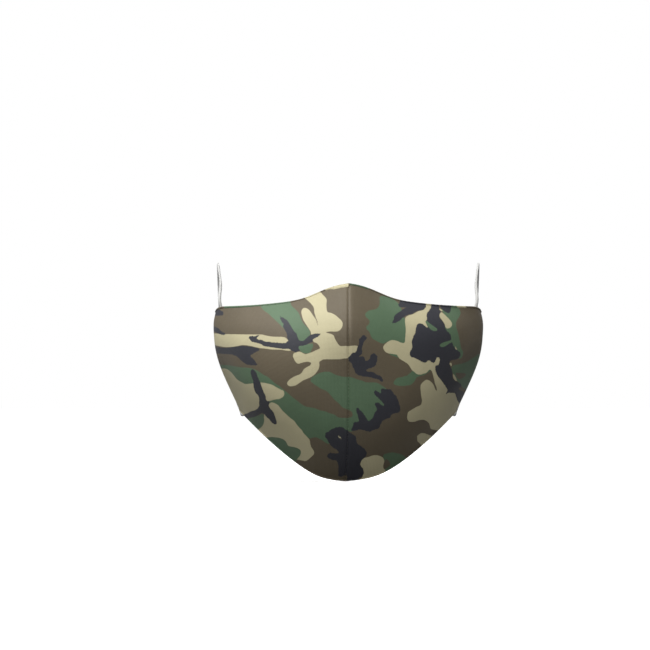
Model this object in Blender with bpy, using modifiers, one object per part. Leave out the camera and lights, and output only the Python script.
"""Fitted three-layer face mask with a vertical centre seam.

Two shaped halves are sewn together down the middle of the face. Each half is
an outer panel, a filter layer and a lining panel, bound along its top and
bottom edges. A tunnel inside each side edge carries an elastic ear loop, and
a pocket inside the nose edge carries a bendable nose wire, one leg to a half.

World axes: +Z up, the mask faces -Y, +X is the wearer's left. The origin is
under the middle of the whole object, level with its lowest point.
Design lengths are millimetres; MM turns them into metres. Every piece of a
half is shaped for the left side and mirrored for the right.
"""

import math

import bmesh
import bpy
import numpy as np
from mathutils import Matrix, Vector

MM = 0.001
SHARP_ANGLE = math.radians(40)
WELD_DISTANCE = 1e-6    # metres

# Thickness of each layer, the air between one layer and the next, and the
# depth of each layer's front below the outer face.
OUTER_THICK = 0.5
FILTER_THICK = 0.4
LINING_THICK = 0.5
PLY_GAP = 0.3
FILTER_DEPTH = OUTER_THICK + PLY_GAP
LINING_DEPTH = FILTER_DEPTH + FILTER_THICK + PLY_GAP
STACK = LINING_DEPTH + LINING_THICK

# Air between the two halves at the centre seam, and the wider slot that the
# filter layers leave for the seam threads.
SEAM_GAP = 0.3
FILTER_SEAM_GAP = 2.4

# Edge binding: a folded tape that wraps the raw edge of all three layers.
BIND_THICK = 0.4
BIND_GAP = 0.25
BIND_WIDTH = 2.6
BIND_ROUND = 0.8
EDGE_INSET = BIND_THICK + BIND_GAP

# Side tunnel: a flat sleeve behind the side edge of the outer panel. Its
# mouths are given as fractions of the way from chin edge to nose edge.
TUNNEL_HALF_WIDTH = 2.8
TUNNEL_HALF_HEIGHT = 1.75
TUNNEL_WALL = 0.4
TUNNEL_FROM_EDGE = 4.0
TUNNEL_DEPTH = 2.75
TUNNEL_LOW_RISE = 0.012
TUNNEL_HIGH_RISE = 0.985
TUNNEL_FACING_ACROSS = 0.965    # where the sheet sets which way the sleeve faces
TUNNEL_AROUND = 12
TUNNEL_ALONG = 6

# Ear loop: flat woven elastic, drawn round where it runs in the tunnel.
LOOP_WIDTH = 4.5
LOOP_THICK = 1.1
LOOP_TUNNEL_RADIUS = 1.0
LOOP_TOP_LEAD = 5.5                # straight run out of the top mouth
LOOP_LOW_LEAD = 2.2                # and out of the lower mouth
LOOP_LOW_SHIFT = (0.1, 1.0, 0.0)
LOOP_STEPS = 44
LOOP_TUNNEL_STEPS = 4
LOOP_AROUND = 8
# Fractions of the free path where it starts to flatten and is round again,
# and the fraction over which each change takes place.
LOOP_FLAT_START = 0.05
LOOP_FLAT_END = 0.93
LOOP_FLAT_RAMP = 0.12
# The flat section is a rectangle with cut corners: each corner is cut back
# to these parts of the half-width and of the half-thickness.
LOOP_CUT_WIDTH = 0.80
LOOP_CUT_THICK = 0.45

# Nose wire and its pocket. The ends are fractions of the way from the centre
# seam to the side edge.
WIRE_WIDTH = 3.0
WIRE_THICK = 0.5
WIRE_FROM_EDGE = 8.0
WIRE_DEPTH = STACK + PLY_GAP
WIRE_END_ACROSS = 0.345
WIRE_STEPS = 8
POCKET_THICK = 0.3
POCKET_WIDTH = 9.0
POCKET_END_ACROSS = 0.372
POCKET_STEPS = 9
POCKET_LOW = WIRE_DEPTH - 0.05
POCKET_RAISE = WIRE_THICK + PLY_GAP + 0.1
# Pocket section: part of its width up from its middle line, and whether the
# cloth stands off the lining there (1) or lies near it (0).
POCKET_SECTION = ((-0.5, 0), (-0.38, 0), (-0.30, 1), (0.30, 1), (0.38, 0), (0.5, 0))

# Threads. The seam threads stop short of the chin and nose edges.
SEAM_THREAD_RADIUS = 0.12
SEAM_THREAD_DEPTH = OUTER_THICK + 0.30
LINING_THREAD_DEPTH = OUTER_THICK + 0.70
SEAM_THREAD_LOW = 0.008
SEAM_THREAD_HIGH = 0.992
SEAM_MIN_FACING = 0.5    # limits the deepening where the sheet turns from the seam
STITCH_RADIUS = 0.15
STITCH_DEPTH = OUTER_THICK + 0.75
STITCH_FROM_TUNNEL = 1.1
STITCH_END_RISE = 0.03

# Cage of one half. Each row runs from the centre seam to the side edge:
# distance from the seam plane (x), distance back (y), height (z). Rows go
# from the chin edge up to the nose edge, and the sheet passes smoothly
# through every cage point.
CAGE_ACROSS = (0.0, 0.16, 0.32, 0.48, 0.64, 0.80, 0.92, 1.0)
CAGE_RISE = (0.0, 0.25, 0.5, 0.75, 1.0)
CAGE = np.array((
    # chin edge
    ((0, 28, 0), (17.0, 30.2, 3.1), (33, 35.6, 12.5), (47.2, 44, 24.4),
     (57.2, 55.5, 34.0), (62.6, 68.5, 39.4), (64.6, 80.0, 41.8), (63.8, 88.0, 42.4)),
    # lower cheek
    ((0, 9.0, 31), (18.6, 11.8, 32.4), (36, 19.6, 37.4), (51, 32.4, 44.2),
     (62.2, 48.5, 50.8), (69.4, 66.5, 55.4), (71.6, 80.0, 57.2), (68.4, 89.4, 57.8)),
    # lips
    ((0, 1.6, 62), (19.0, 5.8, 62.4), (37.5, 14.6, 63.9), (53.4, 28.0, 66.1),
     (65.8, 44.6, 68.8), (74.4, 63.5, 71.2), (77.4, 79.0, 72.4), (71.9, 90.8, 73.2)),
    # under the nose
    ((0, 1.2, 91), (17.0, 9.2, 90.1), (34.2, 19.6, 88.8), (50.6, 31.6, 88.1),
     (65.0, 46.8, 87.6), (75.6, 64.6, 87.6), (79.8, 80.5, 87.9), (75.2, 92.2, 88.2)),
    # nose edge
    ((0, 19, 116.8), (13.6, 26.6, 113.8), (28.6, 35.2, 108.0), (44.0, 43.2, 105.2),
     (58.4, 54.2, 103.9), (71.2, 69.6, 103.3), (78.2, 84.0, 102.8), (77.6, 93.2, 101.8)),
), float)
# Sheets share these column and row lines, so that stacked layers stay parallel.
COLUMNS = 13
LAYER_END_ACROSS = 0.915
SIDE_COLUMNS = 3
ROWS = 12

# Free part of the ear loop on the wearer's left (x, y, z), from the top
# mouth of the tunnel over the ear and back to the lower mouth.
LOOP_PATH = np.array((
    (76.2, 95.0, 115.5), (77.0, 104.0, 123.8), (77.6, 117.0, 127.3),
    (77.8, 130.0, 123.2), (77.6, 140.2, 112.6), (77.0, 145.6, 98.0),
    (75.6, 145.0, 83.5), (73.3, 138.6, 70.0), (70.3, 127.6, 58.0),
    (67.2, 114.0, 48.4), (64.6, 100.5, 41.6), (63.2, 92.6, 38.8),
))
LOOP_REARMOST = 5    # index of the path point farthest back

# The right half folds about an axis through this point in the seam plane,
# just behind the seam at the chin.
FOLD_FOOT = (0.0, 31.4, 0.0)
HINGE_DISPLAY_SIZE = 0.01    # metres

MATERIALS = {
    "printed_knit": dict(colour=(0.075, 0.075, 0.048), roughness=0.85),
    "printed_binding": dict(colour=(0.060, 0.066, 0.042), roughness=0.85),
    "filter_fleece": dict(colour=(0.80, 0.80, 0.78), roughness=0.95),
    "cotton_lining": dict(colour=(0.62, 0.61, 0.58), roughness=0.9),
    "tunnel_cloth": dict(colour=(0.55, 0.54, 0.51), roughness=0.9),
    "white_elastic": dict(colour=(0.70, 0.70, 0.69), roughness=0.75),
    "coated_wire": dict(colour=(0.78, 0.79, 0.80), roughness=0.4, metallic=0.3),
    "sewing_thread": dict(colour=(0.10, 0.10, 0.075), roughness=0.6),
}


# --- The sheet of one half ---------------------------------------------------
# A place on the sheet is (across, rise): across runs from 0 at the centre seam
# to 1 at the side edge, rise from 0 at the chin edge to 1 at the nose edge.

def unit(vector):
    return vector / np.linalg.norm(vector)


def natural_spline(knots, values, at):
    """Points of a natural cubic spline through values at the given knots."""
    knots = np.asarray(knots, float)
    count = len(knots)
    spans = np.diff(knots)
    values = np.asarray(values, float)
    shape = values.shape[1:]
    values = values.reshape(count, -1)
    system = np.zeros((count, count))
    target = np.zeros_like(values)
    system[0, 0] = system[-1, -1] = 1.0
    for i in range(1, count - 1):
        before, after = spans[i - 1], spans[i]
        system[i, i - 1:i + 2] = before, 2 * (before + after), after
        target[i] = 3 * ((values[i + 1] - values[i]) / after
                         - (values[i] - values[i - 1]) / before)
    # Coefficients of the local cubic in each span.
    second = np.linalg.solve(system, target)
    widths = spans[:, None]
    first = np.diff(values, axis=0) / widths - widths * (2 * second[:-1] + second[1:]) / 3
    third = np.diff(second, axis=0) / (3 * widths)
    at = np.asarray(at, float)
    k = np.clip(np.searchsorted(knots, at, side="right") - 1, 0, count - 2)
    step = (at - knots[k])[:, None]
    result = values[k] + first[k] * step + second[k] * step ** 2 + third[k] * step ** 3
    return result.reshape((len(at),) + shape)


def point(across, rise):
    """Point of the outer face."""
    row = natural_spline(CAGE_RISE, CAGE, [rise])[0]
    return natural_spline(CAGE_ACROSS, row, [across])[0]


def frame(across, rise):
    """Point, rates of change with across and rise, and the outward unit normal."""
    delta = 1e-4
    per_across = (point(across + delta, rise) - point(across - delta, rise)) / (2 * delta)
    per_rise = (point(across, rise + delta) - point(across, rise - delta)) / (2 * delta)
    return point(across, rise), per_across, per_rise, unit(np.cross(per_across, per_rise))


def offset_point(across, rise, depth):
    """Point at a depth below the outer face."""
    origin, _, _, normal = frame(across, rise)
    return origin - normal * depth


def rise_share(across, edge_rise, distance):
    """The change of rise that covers a distance at the chin or nose edge."""
    return distance / np.linalg.norm(frame(across, edge_rise)[2])


def below_nose_edge(across, distance):
    """Rise of the line that runs this far below the nose edge."""
    return 1.0 - rise_share(across, 1.0, distance)


def inside_side_edge(rise, distance):
    """Across of the line that runs this far in from the side edge."""
    return 1.0 - distance / np.linalg.norm(frame(1.0, rise)[1])


def column_across(i):
    """Column lines: even up to the end of the inner layers, then to the side."""
    if i <= COLUMNS:
        return LAYER_END_ACROSS * i / COLUMNS
    return LAYER_END_ACROSS + (1 - LAYER_END_ACROSS) * (i - COLUMNS) / SIDE_COLUMNS


def row_rise(across, j):
    """Row lines, drawn in from both edges by the room the binding takes."""
    low = rise_share(across, 0.0, EDGE_INSET)
    high = rise_share(across, 1.0, EDGE_INSET)
    return low + (1 - low - high) * j / ROWS


# --- Helpers that make and dress each piece ----------------------------------

def clear_scene():
    for obj in list(bpy.data.objects):
        bpy.data.objects.remove(obj, do_unlink=True)


def add_material(name, colour, roughness, metallic=0.0):
    mat = bpy.data.materials.new(name)
    mat.use_nodes = True
    shader = mat.node_tree.nodes["Principled BSDF"]
    shader.inputs["Base Color"].default_value = (*colour, 1.0)
    shader.inputs["Roughness"].default_value = roughness
    shader.inputs["Metallic"].default_value = metallic


def sheet(columns, rows, place, closed=False):
    """A grid with vertices at place(i, j), in mm; closed welds edges that meet."""
    grid = bmesh.new()
    bmesh.ops.create_grid(grid, x_segments=columns, y_segments=rows, size=1.0)
    for vert in grid.verts:
        i = round((vert.co.x + 1) / 2 * columns)
        j = round((vert.co.y + 1) / 2 * rows)
        vert.co = Vector(place(i, j) * MM)
    if closed:
        bmesh.ops.remove_doubles(grid, verts=grid.verts, dist=WELD_DISTANCE)
        bmesh.ops.recalc_face_normals(grid, faces=grid.faces)
    return grid


def to_mesh(solid, name):
    mesh = bpy.data.meshes.new(name)
    solid.to_mesh(mesh)
    solid.free()
    return mesh


def evaluated(temp):
    """Bmesh of a temporary object as evaluated; the object is removed."""
    bpy.context.scene.collection.objects.link(temp)
    graph = bpy.context.evaluated_depsgraph_get()
    mesh = bpy.data.meshes.new_from_object(temp.evaluated_get(graph))
    bpy.data.objects.remove(temp, do_unlink=True)
    solid = bmesh.new()
    solid.from_mesh(mesh)
    return solid


def thickened(grid, thickness, offset=-1.0):
    """The closed shell that Solidify makes of an open sheet."""
    temp = bpy.data.objects.new("sheet", to_mesh(grid, "sheet"))
    solidify = temp.modifiers.new("Solidify", "SOLIDIFY")
    solidify.thickness = thickness * MM
    solidify.offset = offset
    solidify.use_even_offset = True
    solidify.use_quality_normals = True
    return evaluated(temp)


def cut_at_seam(solid, gap):
    """Trim a half at the seam plane, leaving half the gap on this side."""
    bmesh.ops.bisect_plane(solid, geom=solid.verts[:] + solid.edges[:] + solid.faces[:],
                           dist=1e-7, plane_co=(gap / 2 * MM, 0, 0),
                           plane_no=(1, 0, 0), clear_inner=True)
    rim = [edge for edge in solid.edges if edge.is_boundary]
    if rim:
        bmesh.ops.holes_fill(solid, edges=rim, sides=0)
    bmesh.ops.recalc_face_normals(solid, faces=solid.faces)
    return solid


def finish(solid, name, material_name, collection, side=1):
    """Turn a built piece into its object; side -1 mirrors it across the seam."""
    bmesh.ops.triangulate(solid, faces=[face for face in solid.faces if len(face.verts) > 4])
    if side < 0:
        bmesh.ops.scale(solid, vec=(-1, 1, 1), verts=solid.verts)
        bmesh.ops.reverse_faces(solid, faces=solid.faces)
    mesh = to_mesh(solid, name)
    mesh.materials.append(bpy.data.materials[material_name])
    mesh.shade_smooth()
    mesh.set_sharp_from_angle(angle=SHARP_ANGLE)
    obj = bpy.data.objects.new(name, mesh)
    collection.objects.link(obj)
    return obj


def thread(points, radius, name, collection):
    """A sewing thread along a line of points: a closed round wire."""
    curve = bpy.data.curves.new(name, "CURVE")
    curve.dimensions = "3D"
    curve.bevel_depth = radius * MM
    curve.bevel_resolution = 1
    curve.use_fill_caps = True
    spline = curve.splines.new("POLY")
    spline.points.add(len(points) - 1)
    for slot, place in zip(spline.points, points):
        slot.co = (*(place * MM), 1.0)
    solid = evaluated(bpy.data.objects.new(name + "_path", curve))
    bmesh.ops.remove_doubles(solid, verts=solid.verts, dist=WELD_DISTANCE)
    bmesh.ops.recalc_face_normals(solid, faces=solid.faces)
    return finish(solid, name, "sewing_thread", collection)


# --- Layers and binding ------------------------------------------------------

def layer(depth, thickness, seam_gap, side_columns=0):
    """One ply of a half at a depth below the outer face."""
    def place(i, j):
        across = column_across(i)
        return offset_point(across, row_rise(across, j), depth)

    grid = sheet(COLUMNS + side_columns, ROWS, place)
    return cut_at_seam(thickened(grid, thickness), seam_gap)


def outer_panel():
    return layer(0.0, OUTER_THICK, SEAM_GAP, SIDE_COLUMNS)


def filter_layer():
    return layer(FILTER_DEPTH, FILTER_THICK, FILTER_SEAM_GAP)


def lining_panel():
    return layer(LINING_DEPTH, LINING_THICK, SEAM_GAP)


def binding(edge_rise, outward):
    """Folded tape over one edge; outward is the sign of rise that leaves it."""
    front = BIND_GAP + BIND_THICK / 2
    back = -(STACK + BIND_GAP + BIND_THICK / 2)
    lip = -BIND_THICK / 2
    corner = BIND_ROUND * (1 - math.cos(math.pi / 4))
    # Middle of the tape: distance beyond the edge, height over the outer face.
    fold = ((-BIND_WIDTH, front), (lip - BIND_ROUND, front), (lip - corner, front - corner),
            (lip, front - BIND_ROUND), (lip, back + BIND_ROUND), (lip - corner, back + corner),
            (lip - BIND_ROUND, back), (-BIND_WIDTH, back))
    if outward > 0:
        fold = fold[::-1]

    def place(i, j):
        origin, _, per_rise, normal = frame(column_across(i), edge_rise)
        beyond, lift = fold[j]
        return origin + unit(per_rise) * outward * beyond + normal * lift

    grid = sheet(COLUMNS, len(fold) - 1, place)
    return cut_at_seam(thickened(grid, BIND_THICK, offset=0.0), SEAM_GAP)


def top_edge_binding():
    return binding(edge_rise=1.0, outward=1)


def bottom_edge_binding():
    return binding(edge_rise=0.0, outward=-1)


# --- Side tunnel and ear loop ------------------------------------------------

def tunnel_ends():
    """Axis of the side tunnel: its lower and upper mouths."""
    return [offset_point(inside_side_edge(rise, TUNNEL_FROM_EDGE), rise, TUNNEL_DEPTH)
            for rise in (TUNNEL_LOW_RISE, TUNNEL_HIGH_RISE)]


def side_tunnel():
    """Flat sleeve, open at both mouths, along the straight tunnel axis."""
    low, high = tunnel_ends()
    axis = unit(high - low)

    def place(i, j):
        along = i / TUNNEL_ALONG
        rise = TUNNEL_LOW_RISE + (TUNNEL_HIGH_RISE - TUNNEL_LOW_RISE) * along
        normal = frame(TUNNEL_FACING_ACROSS, rise)[3]
        out = unit(normal - axis * normal.dot(axis))
        wide = np.cross(axis, out)
        angle = 2 * math.pi * (j % TUNNEL_AROUND) / TUNNEL_AROUND
        return (low + (high - low) * along
                + wide * math.cos(angle) * (TUNNEL_HALF_WIDTH - TUNNEL_WALL / 2)
                + out * math.sin(angle) * (TUNNEL_HALF_HEIGHT - TUNNEL_WALL / 2))

    grid = sheet(TUNNEL_ALONG, TUNNEL_AROUND, place, closed=True)
    solid = thickened(grid, TUNNEL_WALL, offset=0.0)
    bmesh.ops.recalc_face_normals(solid, faces=solid.faces)
    return solid


def loop_line(low, high):
    """Closed centre line of the ear loop, and how flat it is at each point."""
    axis = unit(high - low)
    free = [high, high + axis * LOOP_TOP_LEAD, *LOOP_PATH,
            low - axis * LOOP_LOW_LEAD + np.array(LOOP_LOW_SHIFT), low]
    knots = [0.0]
    for start, end in zip(free, free[1:]):
        knots.append(knots[-1] + math.sqrt(np.linalg.norm(end - start)))
    knots = np.array(knots) / knots[-1]
    stations = np.linspace(0, 1, LOOP_STEPS + 1)
    line = list(natural_spline(knots, free, stations))
    flatness = [min(1.0, max(0.0, (s - LOOP_FLAT_START) / LOOP_FLAT_RAMP))
                * min(1.0, max(0.0, (LOOP_FLAT_END - s) / LOOP_FLAT_RAMP))
                for s in stations]
    for k in range(1, LOOP_TUNNEL_STEPS):
        line.append(low + (high - low) * k / LOOP_TUNNEL_STEPS)
        flatness.append(0.0)
    return line, flatness


def ear_loop():
    """Closed ring of elastic: round in the tunnel, flat round the ear."""
    low, high = tunnel_ends()
    line, flatness = loop_line(low, high)
    count = len(line)
    face = unit(np.cross(high - low, LOOP_PATH[LOOP_REARMOST] - low))

    def place(i, j):
        k = i % count
        tangent = unit(line[(k + 1) % count] - line[k - 1])
        out = unit(face - tangent * face.dot(tangent))
        wide = np.cross(tangent, out)
        angle = 2 * math.pi * ((j % LOOP_AROUND) + 0.5) / LOOP_AROUND
        cosine, sine = math.cos(angle), math.sin(angle)
        flat = flatness[k]
        half_width = LOOP_TUNNEL_RADIUS + (LOOP_WIDTH / 2 - LOOP_TUNNEL_RADIUS) * flat
        half_thick = LOOP_TUNNEL_RADIUS + (LOOP_THICK / 2 - LOOP_TUNNEL_RADIUS) * flat
        # Blend from a regular polygon to a rectangle with cut corners.
        flat_x = math.copysign(1.0 if abs(cosine) > 0.5 else LOOP_CUT_WIDTH, cosine)
        flat_y = math.copysign(1.0 if abs(sine) > 0.5 else LOOP_CUT_THICK, sine)
        inner_ratio = math.cos(math.pi / LOOP_AROUND)
        x = cosine / inner_ratio * (1 - flat) + flat_x * flat
        y = sine / inner_ratio * (1 - flat) + flat_y * flat
        return line[k] + wide * x * half_width + out * y * half_thick

    return sheet(count, LOOP_AROUND, place, closed=True)


# --- Nose wire and pocket ----------------------------------------------------

def nose_wire():
    """Flat strip behind the lining, along the nose edge."""
    def place(i, j):
        across = WIRE_END_ACROSS * i / WIRE_STEPS
        rise = below_nose_edge(across, WIRE_FROM_EDGE + WIRE_WIDTH * (0.5 - j))
        return offset_point(across, rise, WIRE_DEPTH)

    return cut_at_seam(thickened(sheet(WIRE_STEPS, 1, place), WIRE_THICK), SEAM_GAP)


def nose_wire_pocket():
    """Shallow channel over the wire, close to the lining at its edges and its end."""
    def place(i, j):
        across = POCKET_END_ACROSS * i / POCKET_STEPS
        offset, raised = POCKET_SECTION[j]
        if i == POCKET_STEPS:
            raised = 0
        rise = below_nose_edge(across, WIRE_FROM_EDGE - POCKET_WIDTH * offset)
        return offset_point(across, rise, POCKET_LOW + POCKET_RAISE * raised)

    grid = sheet(POCKET_STEPS, len(POCKET_SECTION) - 1, place)
    return cut_at_seam(thickened(grid, POCKET_THICK), SEAM_GAP)


# --- Thread lines ------------------------------------------------------------

def seam_line(depth):
    """Points in the seam plane at a depth below the outer face."""
    points = []
    for j in range(ROWS + 1):
        rise = min(SEAM_THREAD_HIGH, max(SEAM_THREAD_LOW, row_rise(0.0, j)))
        origin, _, per_rise, normal = frame(0.0, rise)
        tangent = unit(per_rise)
        back = np.array((0.0, tangent[2], -tangent[1]))
        points.append(origin + back * depth / max(SEAM_MIN_FACING, -normal.dot(back)))
    return points


def side_stitch_line():
    """Points beside the tunnel, on its side towards the centre seam."""
    distance = TUNNEL_FROM_EDGE + TUNNEL_HALF_WIDTH + STITCH_FROM_TUNNEL
    points = []
    for j in range(ROWS + 1):
        rise = STITCH_END_RISE + (1 - 2 * STITCH_END_RISE) * j / ROWS
        points.append(offset_point(inside_side_edge(rise, distance), rise, STITCH_DEPTH))
    return points


# --- Assembly ----------------------------------------------------------------

# Pieces that each half has: name, builder, material.
HALF_PIECES = (
    ("outer_panel", outer_panel, "printed_knit"),
    ("filter_layer", filter_layer, "filter_fleece"),
    ("lining_panel", lining_panel, "cotton_lining"),
    ("top_edge_binding", top_edge_binding, "printed_binding"),
    ("bottom_edge_binding", bottom_edge_binding, "printed_binding"),
    ("side_tunnel", side_tunnel, "tunnel_cloth"),
    ("nose_wire", nose_wire, "coated_wire"),
    ("nose_wire_pocket", nose_wire_pocket, "cotton_lining"),
    ("ear_loop", ear_loop, "white_elastic"),
)
SIDES = ((1, "left"), (-1, "right"))


def build_pieces(collection):
    pieces = []
    for side, hand in SIDES:
        for name, builder, material_name in HALF_PIECES:
            pieces.append(finish(builder(), f"{name}_{hand}", material_name, collection, side))
        stitches = [place * np.array((side, 1.0, 1.0)) for place in side_stitch_line()]
        pieces.append(thread(stitches, STITCH_RADIUS, f"side_tunnel_stitch_{hand}", collection))
    for name, depth in (("centre_seam_thread", SEAM_THREAD_DEPTH),
                        ("lining_seam_thread", LINING_THREAD_DEPTH)):
        pieces.append(thread(seam_line(depth), SEAM_THREAD_RADIUS, name, collection))
    return pieces


def move_to_origin(pieces):
    """Bring the origin under the middle, at the lowest point; return the shift."""
    corners = [vert.co for obj in pieces for vert in obj.data.vertices]
    low = [min(corner[k] for corner in corners) for k in range(3)]
    high = [max(corner[k] for corner in corners) for k in range(3)]
    shift = Vector((-(low[0] + high[0]) / 2, -(low[1] + high[1]) / 2, -low[2]))
    for obj in pieces:
        obj.data.transform(Matrix.Translation(shift))
    return shift


def add_hinge(name, location, collection):
    empty = bpy.data.objects.new(name, None)
    empty.location = location
    empty.empty_display_size = HINGE_DISPLAY_SIZE
    collection.objects.link(empty)
    return empty


def hang(obj, hinge):
    """Parent a piece to a hinge without moving it; its origin goes to the hinge."""
    obj.data.transform(Matrix.Translation(-hinge.location))
    obj.parent = hinge


def add_hinges(pieces, shift, collection):
    """Each ear loop turns about its tunnel, the rest of the right half at the fold."""
    fold = add_hinge("centre_fold_axis", Vector(FOLD_FOOT) * MM + shift, collection)
    low_mouth = tunnel_ends()[0]
    for side, hand in SIDES:
        mouth = Vector(low_mouth * np.array((side, 1.0, 1.0))) * MM + shift
        hang(bpy.data.objects[f"ear_loop_{hand}"],
             add_hinge(f"{hand}_loop_axis", mouth, collection))
    for obj in pieces:
        if obj.name.endswith("_right") and obj.parent is None:
            hang(obj, fold)


def build():
    clear_scene()
    collection = bpy.data.collections.new("face_mask")
    bpy.context.scene.collection.children.link(collection)
    for name, settings in MATERIALS.items():
        add_material(name, **settings)
    pieces = build_pieces(collection)
    shift = move_to_origin(pieces)
    add_hinges(pieces, shift, collection)


build()
